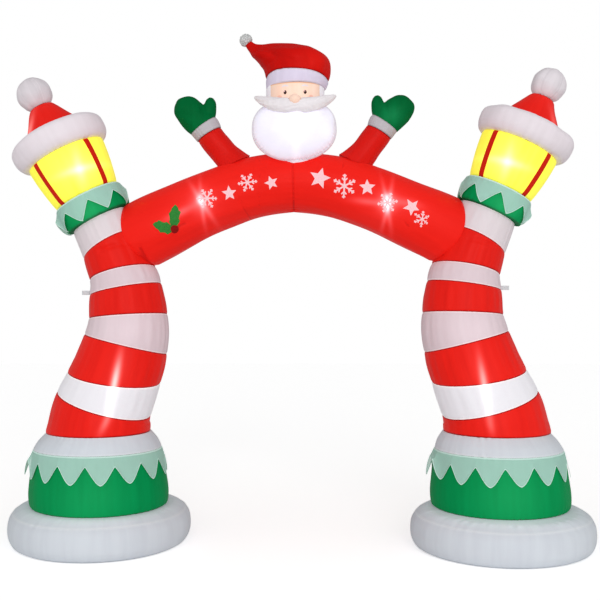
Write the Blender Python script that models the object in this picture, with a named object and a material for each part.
"""Inflatable arch: two striped lamp columns, a tube between them and a capped, bearded figure on it.

Units are metres, +Z is up, the front faces -Y, and the origin is on the ground half way between
the two bases. Everything blown up is a filled solid; the two kinds of valance are thin sheets.
The upper part leans a little to the left, as soft goods do, while the bases stand level.
"""

import math

import bmesh
import bpy
from mathutils import Matrix, Vector

# Driving dimensions -----------------------------------------------------------------------------
GAP = 0.0003                # between two pieces that are sewn to each other
CUT_GAP = 0.0005            # round a piece that its neighbour is cut to
LEAN = math.radians(1.06)   # of the upper part, to the left
LEAN_FROM, LEAN_FULL = 0.2, 0.6   # heights where the sideways lean starts and is complete
TILT_FROM, TILT_FULL = 0.575, 1.4  # heights where level lines start to tilt with it, and do so fully
SHARP = math.radians(40.0)  # edges bent more than this stay crisp
ROUTE_STEP = 0.01           # in rows, to find which way a route runs

BASE_X = 1.032              # from the middle to the centre of a base
BASE_STEP = 0.0225          # the left base stands this far back, the right one this far forward
BASE_TURN = {"_left": math.radians(10.0), "_right": math.radians(-2.0)}   # of the drum's points
UPPER_MIDDLE = 0.005        # the upper part's middle, where its lean starts
FOOT_HEIGHT = 0.196
FOOT_STEP = {"_left": 0.025, "_right": -0.050}      # of a foot, behind or before its drum
FOOT_STRETCH = {"_left": 1.054, "_right": 1.0}      # depth of a foot against its width
DRUM_TOP = 0.4847
SHOULDER_TOP = 0.575
VALANCE_POINTS = 15         # of the base valance, round the drum
DRUM_SEGMENTS = 4 * VALANCE_POINTS
COLUMN_SEGMENTS = 24
LAMP_SEGMENTS = 24
ARCH_SEGMENTS = 20
ARM_SEGMENTS = 16
HEAD_SEGMENTS = 24

# Turned pieces: height, radius
FOOT_ROWS = ((0.0, 0.420), (0.014, 0.443), (0.050, 0.460), (0.095, 0.463), (0.140, 0.455),
             (0.172, 0.430), (0.191, 0.388), (FOOT_HEIGHT, 0.345))
DRUM_ROWS = ((FOOT_HEIGHT + GAP, 0.335), (0.212, 0.350), (0.270, 0.354), (0.350, 0.345),
             (0.420, 0.331), (DRUM_TOP, 0.312))

# Shoulder: height, radius, how far its centre has gone from the base's to the column's
SHOULDER_ROWS = ((DRUM_TOP + GAP, 0.3115, 0.0), (0.532, 0.294, 0.5), (SHOULDER_TOP - GAP, 0.264, 1.0))

# Base valance: its edges and how far the points stand off the drum
VALANCE_TOP = DRUM_TOP - 0.001
VALANCE_TIP, VALANCE_VALLEY = 0.353, 0.445
VALANCE_FLARE = 0.008
VALANCE_THICKNESS = 0.002

# Column: distance from the middle, height, radius
COLUMN_ROWS = ((1.0235, SHOULDER_TOP, 0.262), (1.007, 0.675, 0.250), (0.973, 0.766, 0.238),
               (0.9445, 0.835, 0.231), (0.9215, 0.8925, 0.226), (0.8915, 0.983, 0.220),
               (0.868, 1.086, 0.209), (0.8625, 1.168, 0.200), (0.867, 1.250, 0.192),
               (0.8765, 1.350, 0.1785), (0.901, 1.432, 0.164), (0.950, 1.560, 0.152),
               (1.002, 1.680, 0.147), (1.052, 1.790, 0.147))
# Seams between the column's panels: height at the middle, rise at the outer side, rise at the front
SEAM_ROWS = ((0.720, 0.074, -0.025), (0.856, 0.037, -0.024), (1.034, 0.055, 0.007),
             (1.179, -0.0095, 0.013), (1.323, -0.029, 0.012), (1.401, -0.0375, 0.027),
             (1.552, -0.086, 0.024))
RIGHT_GROWTH, RIGHT_SHIFT = 1.025, -0.004   # the right column is blown up a little fatter
RIGHT_DROOP = 0.012         # of its upper seams
DROOP_FROM, DROOP_FULL = 0.9, 1.2
LOOP_SEAM = 4               # the seam that holds the tether loop

# Tether loop of webbing
LOOP_REACH, LOOP_WIDTH, LOOP_HEIGHT, WEBBING = 0.045, 0.016, 0.022, 0.002
LOOP_ROOT = 0.004           # sewn-in end, cut to the column's side
LOOP_ARC_STEPS = 6

# Lamp: the foot of its axis, its tilt, and its turned pieces along that axis (height, radius)
LAMP_X, LAMP_Z = 1.002, 1.680
LAMP_TILT = math.radians(26.4)
COLLAR_POINTS = 8
COLLAR_SEGMENTS = 4 * COLLAR_POINTS
COLLAR_TOP = 0.131
COLLAR_ROWS = ((GAP, 0.158), (0.012, 0.174), (0.060, 0.179), (0.112, 0.1775), (COLLAR_TOP, 0.1765))
COLLAR_TIP, COLLAR_VALLEY = 0.012, 0.086
COLLAR_FLARE = 0.009
COLLAR_ROOM = 0.196         # radius of the room that the arch tube leaves for the collar
COLLAR_TURN = {"_left": math.radians(-16.0), "_right": math.radians(-19.0)}
LANTERN_TOP = 0.3725
LANTERN_ROWS = ((COLLAR_TOP + GAP, 0.164), (0.170, 0.175), (0.270, 0.193), (LANTERN_TOP, 0.206))
BRIM_TOP = 0.508
BRIM_ROWS = ((LANTERN_TOP + GAP, 0.196), (0.384, 0.223), (0.412, 0.239), (0.445, 0.243),
             (0.478, 0.234), (0.499, 0.208), (BRIM_TOP, 0.168))
CONE_TOP = 0.655
CONE_ROWS = ((BRIM_TOP + GAP, 0.153), (0.556, 0.122), (0.606, 0.090), (CONE_TOP, 0.060))
BOBBLE_RADIUS, BOBBLE_CENTRE = 0.089, 0.7275
BOBBLE_RINGS, BOBBLE_SEGMENTS = 7, 16

# Arch tube, from its middle seam to its end in the column: x, height, radius, depth radius
ARCH_ROWS = ((0.0, 1.856, 0.152, 0.152), (0.21, 1.832, 0.1535, 0.153), (0.40, 1.772, 0.158, 0.156),
             (0.607, 1.682, 0.1655, 0.158), (0.71, 1.636, 0.169, 0.151),
             (0.8015, 1.5928, 0.169, 0.138), (0.87, 1.562, 0.150, 0.118),
             (0.915, 1.540, 0.110, 0.090))
ARCH_DROOP = 0.012          # of the tube's right end
ARCH_STEPS = 10             # in each half

# Arm, cuff and mitten on one route: x, height, radius, depth radius
ARM_ROWS = ((0.271, 1.893, 0.088, 0.088), (0.315, 1.958, 0.079, 0.080), (0.356, 2.009, 0.072, 0.074),
            (0.395, 2.058, 0.071, 0.072), (0.4385, 2.1096, 0.069, 0.070), (0.468, 2.155, 0.0755, 0.062),
            (0.510, 2.196, 0.078, 0.056), (0.5465, 2.2325, 0.072, 0.050), (0.573, 2.2585, 0.060, 0.042),
            (0.589, 2.2745, 0.038, 0.028), (0.5965, 2.2820, 0.012, 0.009))
ARM_SHIFT = 0.011           # both arms stand round the figure, not round the middle seam
CUFF_FROM, CUFF_TO = 4, 5   # rows of the route where the cuff starts and ends
THUMB_ROWS = ((0.468, 2.200, 0.031, 0.034), (0.446, 2.227, 0.035, 0.035), (0.429, 2.256, 0.035, 0.033),
              (0.4225, 2.280, 0.027, 0.025), (0.4195, 2.2945, 0.010, 0.009))

# Figure
FIGURE_X = 0.018
HEAD_TOP = 2.341
HEAD_ROWS = ((1.900, 0.128), (1.960, 0.136), (2.060, 0.145), (2.180, 0.150), (2.270, 0.151),
             (HEAD_TOP, 0.151))
FACE_BOTTOM = 2.205
FACE_BACK = -0.084          # the face panel is what lies in front of this
FACE_BLOCK = 0.3            # half width and depth of the block that parts it from the head
# Cap band and cap: x, height, half width, half depth, tilt of the section in degrees
CAP_ROWS = ((0.020, HEAD_TOP + GAP, 0.152, 0.152, 0.0), (0.030, 2.3945, 0.161, 0.161, -4.0),
            (0.0306, 2.448, 0.170, 0.166, 1.8), (0.0116, 2.4831, 0.168, 0.160, 6.1),
            (-0.0178, 2.5094, 0.150, 0.145, 12.2), (-0.0603, 2.5285, 0.1253, 0.120, 16.0),
            (-0.1034, 2.5368, 0.0959, 0.092, 19.7), (-0.1566, 2.545, 0.0567, 0.055, 29.0),
            (-0.1986, 2.5586, 0.0304, 0.030, 35.6), (-0.2169, 2.5747, 0.0216, 0.0216, 36.7))
BAND_STEPS, CAP_STEPS = 2, 11
CAP_BOBBLE_RADIUS, CAP_BOBBLE_LIFT = 0.032, 0.022
# Beard: a pillow with a sewn rim
BEARD_CENTRE = Vector((0.010, -0.120, 2.1026))
BEARD_HALF_WIDTH, BEARD_HALF_HEIGHT = 0.2133, 0.156
BEARD_FRONT, BEARD_BACK = 0.120, 0.050     # how far it swells before and behind its rim
BEARD_SQUARENESS_TOP, BEARD_SQUARENESS_LOW = 3.4, 2.1
BEARD_SHELLS = (1.0, 0.97, 0.84, 0.62, 0.34)
# Moustache: offset from its middle, height, half height, y, half depth
MOUSTACHE_ROWS = ((0.0, 2.2085, 0.0385, -0.222, 0.034), (0.055, 2.2080, 0.0370, -0.220, 0.033),
                  (0.107, 2.2090, 0.0330, -0.212, 0.030), (0.150, 2.2175, 0.0260, -0.200, 0.024),
                  (0.180, 2.2330, 0.0150, -0.184, 0.015), (0.1967, 2.2470, 0.0040, -0.170, 0.004))
MOUSTACHE_SEGMENTS = 12
NOSE_CENTRE = Vector((0.016, -0.212, 2.2353))
NOSE_RADII = (0.0315, 0.054, 0.0315)
NOSE_RINGS, NOSE_SEGMENTS = 6, 14


# Curves and frames ------------------------------------------------------------------------------
def smoothstep(value):
    value = min(max(value, 0.0), 1.0)
    return value * value * (3.0 - 2.0 * value)


def level_tilt(z):
    """How far a level line of the upright design tilts at this height, in radians."""
    return LEAN * smoothstep((z - TILT_FROM) / (TILT_FULL - TILT_FROM))


def leaned(x, z):
    """Where the lean takes a point of the upright design."""
    angle = LEAN * smoothstep((z - LEAN_FROM) / (LEAN_FULL - LEAN_FROM))
    tilt = level_tilt(z)
    return (UPPER_MIDDLE + x * math.cos(tilt) - z * math.sin(angle), x * math.sin(tilt) + z * math.cos(angle))


def row_at(rows, t):
    """The smooth curve through the rows, t rows from the first one; it runs straight on past its ends."""
    last = len(rows) - 1
    index = min(max(int(t), 0), last - 1)
    u = min(max(t - index, 0.0), 1.0)
    beyond = t - index - u
    start, end = rows[index], rows[index + 1]
    before = rows[index - 1] if index > 0 else tuple(2 * b - c for b, c in zip(start, end))
    after = rows[index + 2] if index + 2 <= last else tuple(2 * c - b for b, c in zip(start, end))
    return tuple(
        0.5 * (2 * b + (c - a) * u + (2 * a - 5 * b + 4 * c - d) * u**2 + (3 * b - a - 3 * c + d) * u**3)
        + (c - b) * beyond for a, b, c, d in zip(before, start, end, after))


def direction_at(rows, t):
    """Which way a route of x, z rows runs; its length is that of one row."""
    ahead, behind = row_at(rows, t + ROUTE_STEP), row_at(rows, t - ROUTE_STEP)
    return Vector((ahead[0] - behind[0], 0.0, ahead[1] - behind[1])) / (2.0 * ROUTE_STEP)


def tube_point(rows, t, angle, grow=0.0):
    """A point on a tube in the XZ plane; rows hold x, z, radius and, if it differs, depth radius."""
    x, z, radius = row_at(rows, t)[:3]
    depth = row_at(rows, t)[-1]
    along = direction_at(rows, t).normalized()
    across = Vector((along.z, 0.0, -along.x))
    front = Vector((0.0, -1.0, 0.0))
    return (Vector((x, 0.0, z)) + across * ((radius + grow) * math.cos(angle))
            + front * ((depth + grow) * math.sin(angle)))


def angles(count):
    return [2.0 * math.pi * step / count for step in range(count)]


def tube_ring(rows, t, count, grow=0.0):
    return [tube_point(rows, t, angle, grow) for angle in angles(count)]


def circle(height, radius, count):
    if radius == 0.0:
        return [Vector((0.0, 0.0, height))]
    return [Vector((radius * math.cos(angle), radius * math.sin(angle), height))
            for angle in angles(count)]


def mirrored(rows, side):
    """The same rows on the left (side -1) or the right (side 1)."""
    return tuple((side * row[0],) + tuple(row[1:]) for row in rows)


# Making solids ----------------------------------------------------------------------------------
def cloth(name, colour, roughness=0.55):
    material = bpy.data.materials.new(name)
    material.use_nodes = True
    shader = material.node_tree.nodes["Principled BSDF"]
    shader.inputs["Base Color"].default_value = (*colour, 1.0)
    shader.inputs["Roughness"].default_value = roughness
    shader.inputs["Metallic"].default_value = 0.0
    material.diffuse_color = (*colour, 1.0)
    return material


def empty(name, location=(0.0, 0.0, 0.0), tilt=0.0):
    """A parent for other objects; tilt turns its top towards +X."""
    holder = bpy.data.objects.new(name, None)
    holder.location = location
    holder.rotation_euler = (0.0, tilt, 0.0)
    bpy.context.scene.collection.objects.link(holder)
    return holder


def solid(name, points, faces, material, parent=None):
    mesh = bpy.data.meshes.new(name)
    mesh.from_pydata(points, [], faces)
    shape = bmesh.new()
    shape.from_mesh(mesh)
    bmesh.ops.recalc_face_normals(shape, faces=shape.faces)
    shape.to_mesh(mesh)
    shape.free()
    mesh.materials.append(material)
    mesh.shade_smooth()
    mesh.set_sharp_from_angle(angle=SHARP)
    piece = bpy.data.objects.new(name, mesh)
    bpy.context.scene.collection.objects.link(piece)
    piece.parent = parent
    return piece


def loft(name, rings, material, parent=None):
    """A closed body through rings of points; a ring of one point is a pole."""
    points, starts, faces = [], [], []
    for ring in rings:
        starts.append(len(points))
        points.extend(ring)
    for index in range(len(rings) - 1):
        low, high = starts[index], starts[index + 1]
        low_count, high_count = len(rings[index]), len(rings[index + 1])
        count = max(low_count, high_count)
        for i in range(count):
            j = (i + 1) % count
            if low_count == 1:
                faces.append((low, high + j, high + i))
            elif high_count == 1:
                faces.append((low + i, low + j, high))
            else:
                faces.append((low + i, low + j, high + j))
                faces.append((low + i, high + j, high + i))
    for start, ring in ((starts[0], rings[0]), (starts[-1], rings[-1])):
        if len(ring) > 1:
            faces.append(tuple(start + i for i in range(len(ring))))
    return solid(name, points, faces, material, parent)


def turned(name, rows, count, material, parent=None):
    return loft(name, [circle(height, radius, count) for height, radius in rows], material, parent)


def tube(name, rows, start, stop, steps, count, material, parent=None, grow=0.0):
    """The stretch of a tube between two places on its route."""
    rings = [tube_ring(rows, start + (stop - start) * step / steps, count, grow)
             for step in range(steps + 1)]
    return loft(name, rings, material, parent)


def ball_rows(centre, radius, bottom, rings):
    """Rows of a ball that is cut flat at the height bottom."""
    first = math.asin(max((bottom - centre) / radius, -1.0))
    rows = []
    for step in range(rings + 1):
        angle = first + (math.pi / 2 - first) * step / rings
        rows.append((centre + radius * math.sin(angle), 0.0 if step == rings else radius * math.cos(angle)))
    return rows


def prism(name, outline, low, high, material, parent=None):
    """An upright prism over an outline of x, y points."""
    rings = [[Vector((x, y, z)) for x, y in outline] for z in (low, high)]
    return loft(name, rings, material, parent)


def box(name, low, high, material):
    outline = ((low[0], low[1]), (high[0], low[1]), (high[0], high[1]), (low[0], high[1]))
    return prism(name, outline, low[2], high[2], material)


def guide(piece):
    """Marks a shape that only cuts others."""
    piece.hide_render = True
    piece.display_type = "WIRE"
    return piece


def combine(piece, other, operation):
    modifier = piece.modifiers.new(operation.lower() + "_" + other.name, "BOOLEAN")
    modifier.operation = operation
    modifier.object = other
    modifier.solver = "EXACT"


def pointed_sheet(name, surface, top, tip, valley, flare, count, material, parent):
    """A thin sheet round a turned piece, with four columns of points for each tooth."""
    rings = []
    for thickness in (0.0, VALANCE_THICKNESS):
        upper, lower = [], []
        for step, angle in enumerate(angles(count)):
            share = abs(step % 4 - 2) / 2.0          # 1 at a point, 0 in a valley
            bottom = valley + (tip - valley) * share
            stand_off = flare * (top - bottom) / (top - tip)
            for ring, height, extra in ((upper, top, CUT_GAP), (lower, bottom, CUT_GAP + stand_off)):
                radius = surface(height) + extra + thickness
                ring.append(Vector((radius * math.cos(angle), radius * math.sin(angle), height)))
        rings.append((upper, lower))
    (inner_top, inner_low), (outer_top, outer_low) = rings
    points = inner_top + inner_low + outer_low + outer_top
    faces = []
    for ring in range(4):
        for i in range(count):
            j = (i + 1) % count
            near, far = ring * count, (ring + 1) % 4 * count
            faces.append((near + i, near + j, far + j))
            faces.append((near + i, far + j, far + i))
    return solid(name, points, faces, material, parent)


def radius_of(rows):
    """The radius of a turned piece as a function of height."""
    def at(height):
        for (low, low_radius), (high, high_radius) in zip(rows, rows[1:]):
            if height <= high:
                break
        return low_radius + (high_radius - low_radius) * (height - low) / (high - low)
    return at


# The pieces -------------------------------------------------------------------------------------
def base(side, name, paint):
    holder = empty("base" + name, (side * BASE_X, -side * BASE_STEP, 0.0))
    turn = empty("drum_turn" + name)
    turn.parent = holder
    turn.rotation_euler.z = BASE_TURN[name]
    foot = turned("base_foot" + name, FOOT_ROWS, DRUM_SEGMENTS, paint["grey"], holder)
    foot.location.y, foot.scale.y = FOOT_STEP[name], FOOT_STRETCH[name]
    turned("base_drum" + name, DRUM_ROWS, DRUM_SEGMENTS, paint["green"], turn)
    pointed_sheet("base_valance" + name, radius_of(DRUM_ROWS), VALANCE_TOP, VALANCE_TIP, VALANCE_VALLEY,
                  VALANCE_FLARE, DRUM_SEGMENTS, paint["sheer"], turn)


def column_route(side):
    growth, shift = (RIGHT_GROWTH, RIGHT_SHIFT) if side > 0 else (1.0, 0.0)
    return tuple((*leaned(side * x + shift, z), radius * growth) for x, z, radius in COLUMN_ROWS)


def route_at_height(height):
    """How many rows up the column's route a height of the upright design lies."""
    low, high = 0.0, len(COLUMN_ROWS) - 1.0
    for _ in range(40):
        middle = (low + high) / 2
        if row_at(COLUMN_ROWS, middle)[1] < height:
            low = middle
        else:
            high = middle
    return low


def seam_planes(side):
    """A point and a normal for each seam of a column, from the shoulder to the lamp."""
    route = column_route(side)
    x, z, _ = route[0]
    planes = [(Vector((x, 0.0, z)), Vector((0.0, 0.0, 1.0)))]
    for height, outer_rise, front_rise in SEAM_ROWS:
        if side > 0:
            height -= RIGHT_DROOP * smoothstep((height - DROOP_FROM) / (DROOP_FULL - DROOP_FROM))
        x, z, radius = row_at(route, route_at_height(height))
        slope = side * outer_rise / radius + math.tan(level_tilt(height))
        normal = Vector((-slope, front_rise / radius, 1.0)).normalized()
        planes.append((Vector((x, 0.0, z)), normal))
    lamp_tilt = side * LAMP_TILT - LEAN
    foot = leaned(side * LAMP_X, LAMP_Z)
    planes.append((Vector((foot[0], 0.0, foot[1])), Vector((math.sin(lamp_tilt), 0.0, math.cos(lamp_tilt)))))
    return planes


def seam_places(route, plane, shift):
    """For each angle round the column, the place on its route where it meets a plane."""
    point, normal = plane
    places = []
    for angle in angles(COLUMN_SEGMENTS):
        low, high = -0.5, len(route) - 0.5
        for _ in range(40):
            middle = (low + high) / 2
            if (tube_point(route, middle, angle) - point).dot(normal) < shift:
                low = middle
            else:
                high = middle
        places.append(low)
    return places


def panel_rings(route, places, steps, grow=0.0):
    """Rings that run evenly from one slanting seam to the next."""
    lower, upper = places
    rings = []
    for step in range(steps + 1):
        share = step / steps
        rings.append([tube_point(route, low + (high - low) * share, angle, grow)
                      for low, high, angle in zip(lower, upper, angles(COLUMN_SEGMENTS))])
    return rings


def shoulder(side, name, paint):
    start = Vector((side * BASE_X, -side * BASE_STEP, 0.0))
    end = Vector((column_route(side)[0][0], 0.0, 0.0))
    growth = RIGHT_GROWTH if side > 0 else 1.0
    rings = []
    for height, radius, share in SHOULDER_ROWS:
        radius *= 1.0 + (growth - 1.0) * share
        centre = start.lerp(end, share)
        rings.append([centre + point for point in circle(height, radius, DRUM_SEGMENTS // 2)])
    loft("base_shoulder" + name, rings, paint["grey"])


def column(side, name, paint):
    route, planes = column_route(side), seam_planes(side)
    steps = 2
    for number in range(1, len(planes)):
        red = number % 2 == 1
        band = "column_red_" if red else "column_white_"
        places = [seam_places(route, planes[number - 1], GAP / 2),
                  seam_places(route, planes[number], -GAP / 2)]
        loft(band + str((number + 1) // 2) + name, panel_rings(route, places, steps),
             paint["red" if red else "white"])


def column_cutter(side, name, material):
    """The column with a little room round it."""
    route, planes = column_route(side), seam_planes(side)
    places = [seam_places(route, plane, 0.0) for plane in planes]
    rings = []
    for pair in zip(places, places[1:]):
        rings += panel_rings(route, pair, 2, CUT_GAP)[:-1]
    rings.append(panel_rings(route, places[-2:], 1, CUT_GAP)[-1])
    return guide(loft("column_cutter" + name, rings, material))


def tether_loop(side, name, cutter, paint):
    route, planes = column_route(side), seam_planes(side)
    places = seam_places(route, planes[LOOP_SEAM + 1], 0.0)
    outer_index = 0 if side > 0 else COLUMN_SEGMENTS // 2
    seat = tube_point(route, places[outer_index], angles(COLUMN_SEGMENTS)[outer_index])
    holder = empty("loop_seat" + name, seat + Vector((0.0, 0.0, LOOP_HEIGHT / 2 + 0.001)))

    def outline(start, half_width):
        end = LOOP_REACH - LOOP_WIDTH / 2
        arc = [(-math.pi / 2 + math.pi * step / LOOP_ARC_STEPS) for step in range(LOOP_ARC_STEPS + 1)]
        points = [(start, -half_width)]
        points += [(end + half_width * math.cos(a), half_width * math.sin(a)) for a in arc]
        points.append((start, half_width))
        return [(side * x, y) for x, y in points]

    strap = prism("tether_loop" + name, outline(-LOOP_ROOT, LOOP_WIDTH / 2), -LOOP_HEIGHT / 2,
                  LOOP_HEIGHT / 2, paint["webbing"], holder)
    hole = prism("loop_hole" + name, outline(LOOP_ROOT, LOOP_WIDTH / 2 - WEBBING), -LOOP_HEIGHT,
                 LOOP_HEIGHT, paint["webbing"], holder)
    combine(strap, guide(hole), "DIFFERENCE")
    combine(strap, cutter, "DIFFERENCE")


def lamp(side, name, paint):
    foot = leaned(side * LAMP_X, LAMP_Z)
    holder = empty("lamp" + name, (foot[0], 0.0, foot[1]), side * LAMP_TILT - LEAN)
    turn = empty("lamp_turn" + name)
    turn.parent = holder
    turn.rotation_euler.z = COLLAR_TURN[name]
    turned("collar_drum" + name, COLLAR_ROWS, COLLAR_SEGMENTS, paint["green"], turn)
    pointed_sheet("collar_valance" + name, radius_of(COLLAR_ROWS), COLLAR_TOP - 0.001, COLLAR_TIP,
                  COLLAR_VALLEY, COLLAR_FLARE, COLLAR_SEGMENTS, paint["sheer"], turn)
    turned("lantern" + name, LANTERN_ROWS, LAMP_SEGMENTS, paint["yellow"], holder)
    turned("lamp_brim" + name, BRIM_ROWS, LAMP_SEGMENTS, paint["white"], holder)
    turned("lamp_cone" + name, CONE_ROWS, LAMP_SEGMENTS, paint["red"], holder)
    rows = ball_rows(BOBBLE_CENTRE, BOBBLE_RADIUS, CONE_TOP + GAP, BOBBLE_RINGS)
    turned("lamp_bobble" + name, rows, BOBBLE_SEGMENTS, paint["white"], holder)
    room = ((-CUT_GAP, COLLAR_ROOM), (COLLAR_TOP, COLLAR_ROOM))
    return guide(turned("collar_room" + name, room, COLLAR_SEGMENTS, paint["green"], holder))


def arch_tube(top, cutters, paint):
    """Both halves, each cut to its column and its collar; returns the tube with room round it."""
    right = tuple((x, z - ARCH_DROOP * (x / ARCH_ROWS[-1][0])**2, radius, depth)
                  for x, z, radius, depth in ARCH_ROWS)
    rows = mirrored(ARCH_ROWS[:0:-1], -1) + right
    middle = len(right) - 1
    shift = GAP / 2 / direction_at(rows, middle).length
    halves = (("_left", middle - shift, 0.0), ("_right", middle + shift, 2.0 * middle))
    for name, start, stop in halves:
        half = tube("arch_tube" + name, rows, start, stop, ARCH_STEPS, ARCH_SEGMENTS, paint["red"], top)
        for cutter in cutters[name]:
            combine(half, cutter, "DIFFERENCE")
    return guide(tube("arch_cutter", rows, 0.0, 2.0 * middle, 2 * ARCH_STEPS, ARCH_SEGMENTS, paint["red"],
                      top, CUT_GAP))


def arm(side, name, top, arch_cutter, paint):
    rows = tuple((x + ARM_SHIFT, *row) for x, *row in mirrored(ARM_ROWS, side))
    thumb_rows = tuple((x + ARM_SHIFT, *row) for x, *row in mirrored(THUMB_ROWS, side))
    last = len(rows) - 1
    gap = GAP / 2 / direction_at(rows, CUFF_FROM).length
    sleeve = tube("arm" + name, rows, 0.0, CUFF_FROM - gap, 4, ARM_SEGMENTS, paint["red"], top)
    combine(sleeve, arch_cutter, "DIFFERENCE")
    tube("cuff" + name, rows, CUFF_FROM + gap, CUFF_TO - gap, 1, ARM_SEGMENTS, paint["grey"], top)
    mitten = tube("mitten" + name, rows, CUFF_TO + gap, last, last - CUFF_TO, ARM_SEGMENTS, paint["green"],
                  top)
    thumb = tube("thumb" + name, thumb_rows, 0.0, len(THUMB_ROWS) - 1.0, len(THUMB_ROWS) - 1,
                 ARM_SEGMENTS - 4, paint["green"], top)
    combine(mitten, guide(thumb), "UNION")


def head(figure, arch_cutter, paint):
    grown = [(height, radius + CUT_GAP) for height, radius in HEAD_ROWS]
    room = guide(turned("head_room", grown, HEAD_SEGMENTS, paint["white"], figure))
    back = turned("figure_head", HEAD_ROWS, HEAD_SEGMENTS, paint["white"], figure)
    face = turned("figure_face", HEAD_ROWS, HEAD_SEGMENTS, paint["skin"], figure)
    for piece, shrink, operation in ((back, 0.0, "DIFFERENCE"), (face, GAP, "INTERSECT")):
        low = (-FACE_BLOCK, -FACE_BLOCK, FACE_BOTTOM + shrink)
        high = (FACE_BLOCK, FACE_BACK - shrink, HEAD_TOP + FACE_BLOCK)
        block = guide(box(piece.name + "_block", low, high, paint["skin"]))
        block.parent = figure
        combine(piece, block, operation)
    combine(back, arch_cutter, "DIFFERENCE")
    return room


def cap_ring(t, count):
    x, z, half_width, half_depth, tilt = row_at(CAP_ROWS, t)
    across = Vector((math.cos(math.radians(tilt)), 0.0, math.sin(math.radians(tilt))))
    front = Vector((0.0, -1.0, 0.0))
    centre = Vector((x, 0.0, z))
    return [centre + across * (half_width * math.cos(angle)) + front * (half_depth * math.sin(angle))
            for angle in angles(count)]


def cap(top, paint):
    last = len(CAP_ROWS) - 1
    gap = GAP / 2 / direction_at(CAP_ROWS, 1.0).length
    band = [cap_ring(step * (1.0 - gap) / BAND_STEPS, HEAD_SEGMENTS) for step in range(BAND_STEPS + 1)]
    loft("cap_band", band, paint["white"], top)
    rings = [cap_ring(1.0 + gap + (last - 1.0 - gap) * step / CAP_STEPS, HEAD_SEGMENTS)
             for step in range(CAP_STEPS + 1)]
    loft("figure_cap", rings, paint["red"], top)
    x, z, _, _, tilt = CAP_ROWS[-1]
    seat = empty("cap_tip", (x, 0.0, z), -math.radians(tilt))
    seat.parent = top
    rows = ball_rows(CAP_BOBBLE_LIFT, CAP_BOBBLE_RADIUS, GAP, 6)
    turned("cap_bobble", rows, 12, paint["silver"], seat)


def beard_outline(angle):
    """A point on the beard's rim: rounder below, squarer above."""
    sine, cosine = math.sin(angle), math.cos(angle)
    power = BEARD_SQUARENESS_TOP if sine > 0.0 else BEARD_SQUARENESS_LOW
    reach = (abs(cosine)**power + abs(sine)**power)**(-1.0 / power)
    return Vector((BEARD_HALF_WIDTH * cosine * reach, 0.0, BEARD_HALF_HEIGHT * sine * reach))


def beard_shape(name, grow, material, parent):
    def shell(share, swell):
        bulge = Vector((0.0, swell * math.sqrt(1.0 - share**2), 0.0))
        return [BEARD_CENTRE + beard_outline(angle) * (share + grow / BEARD_HALF_HEIGHT) + bulge
                for angle in angles(HEAD_SEGMENTS)]

    front, back = -(BEARD_FRONT + grow), BEARD_BACK + grow
    rings = [[BEARD_CENTRE + Vector((0.0, front, 0.0))]]
    rings += [shell(share, front) for share in reversed(BEARD_SHELLS)]
    rings += [shell(share, back) for share in BEARD_SHELLS[2::2]]
    rings.append([BEARD_CENTRE + Vector((0.0, back, 0.0))])
    return loft(name, rings, material, parent)


def moustache_ring(t):
    offset, z, half_height, y, half_depth = row_at(MOUSTACHE_ROWS, abs(t))
    x = FIGURE_X + math.copysign(offset, t)
    return [Vector((x, y + half_depth * math.cos(angle), z + half_height * math.sin(angle)))
            for angle in angles(MOUSTACHE_SEGMENTS)]


def ball(name, centre, radii, rings, count, material, parent, grow=0.0):
    rows = []
    for step in range(rings + 1):
        angle = -math.pi / 2 + math.pi * step / rings
        rows.append((math.sin(angle), 0.0 if step in (0, rings) else math.cos(angle)))
    size = Matrix.Diagonal([radius + grow for radius in radii])
    points = [[centre + size @ point for point in circle(height, radius, count)] for height, radius in rows]
    return loft(name, points, material, parent)


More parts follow.
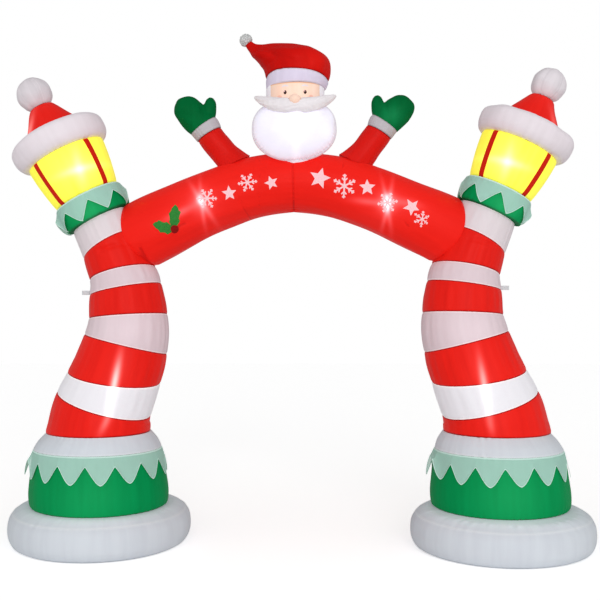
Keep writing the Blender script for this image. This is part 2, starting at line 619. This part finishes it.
def beard_and_moustache(top, head_room, arch_cutter, paint):
    beard = beard_shape("figure_beard", 0.0, paint["white"], top)
    beard_room = guide(beard_shape("beard_room", CUT_GAP, paint["white"], top))
    combine(beard, head_room, "DIFFERENCE")
    combine(beard, arch_cutter, "DIFFERENCE")
    nose = ball("figure_nose", NOSE_CENTRE, NOSE_RADII, NOSE_RINGS, NOSE_SEGMENTS, paint["skin"], top)
    nose_room = guide(ball("nose_room", NOSE_CENTRE, NOSE_RADII, NOSE_RINGS, NOSE_SEGMENTS, paint["skin"],
                           top, CUT_GAP))
    combine(nose, beard_room, "DIFFERENCE")
    combine(nose, head_room, "DIFFERENCE")
    last = len(MOUSTACHE_ROWS) - 1
    rings = [moustache_ring(step) for step in range(-last, last + 1)]
    moustache = loft("figure_moustache", rings, paint["silver"], top)
    for room in (beard_room, head_room, nose_room):
        combine(moustache, room, "DIFFERENCE")


def main():
    for thing in list(bpy.data.objects):
        bpy.data.objects.remove(thing, do_unlink=True)
    paint = {
        "red": cloth("red_cloth", (0.72, 0.035, 0.025)),
        "white": cloth("white_cloth", (0.86, 0.84, 0.86)),
        "grey": cloth("grey_white_cloth", (0.70, 0.72, 0.75)),
        "green": cloth("green_cloth", (0.02, 0.36, 0.13)),
        "yellow": cloth("yellow_cloth", (0.95, 0.92, 0.12)),
        "sheer": cloth("sheer_cloth", (0.60, 0.76, 0.69)),
        "skin": cloth("skin_cloth", (0.93, 0.66, 0.50)),
        "silver": cloth("silver_grey_cloth", (0.60, 0.62, 0.64)),
        "webbing": cloth("webbing", (0.75, 0.77, 0.79), 0.8),
    }
    top = empty("upper_part", (UPPER_MIDDLE, 0.0, 0.0), -LEAN)
    cutters = {}
    for side, name in ((-1, "_left"), (1, "_right")):
        base(side, name, paint)
        shoulder(side, name, paint)
        column(side, name, paint)
        column_room = column_cutter(side, name, paint["red"])
        tether_loop(side, name, column_room, paint)
        cutters[name] = (column_room, lamp(side, name, paint))
    arch_room = arch_tube(top, cutters, paint)
    for side, name in ((-1, "_left"), (1, "_right")):
        arm(side, name, top, arch_room, paint)
    figure = empty("figure", (FIGURE_X, 0.0, 0.0))
    figure.parent = top
    head_room = head(figure, arch_room, paint)
    cap(top, paint)
    beard_and_moustache(top, head_room, arch_room, paint)
    bpy.context.view_layer.update()


main()
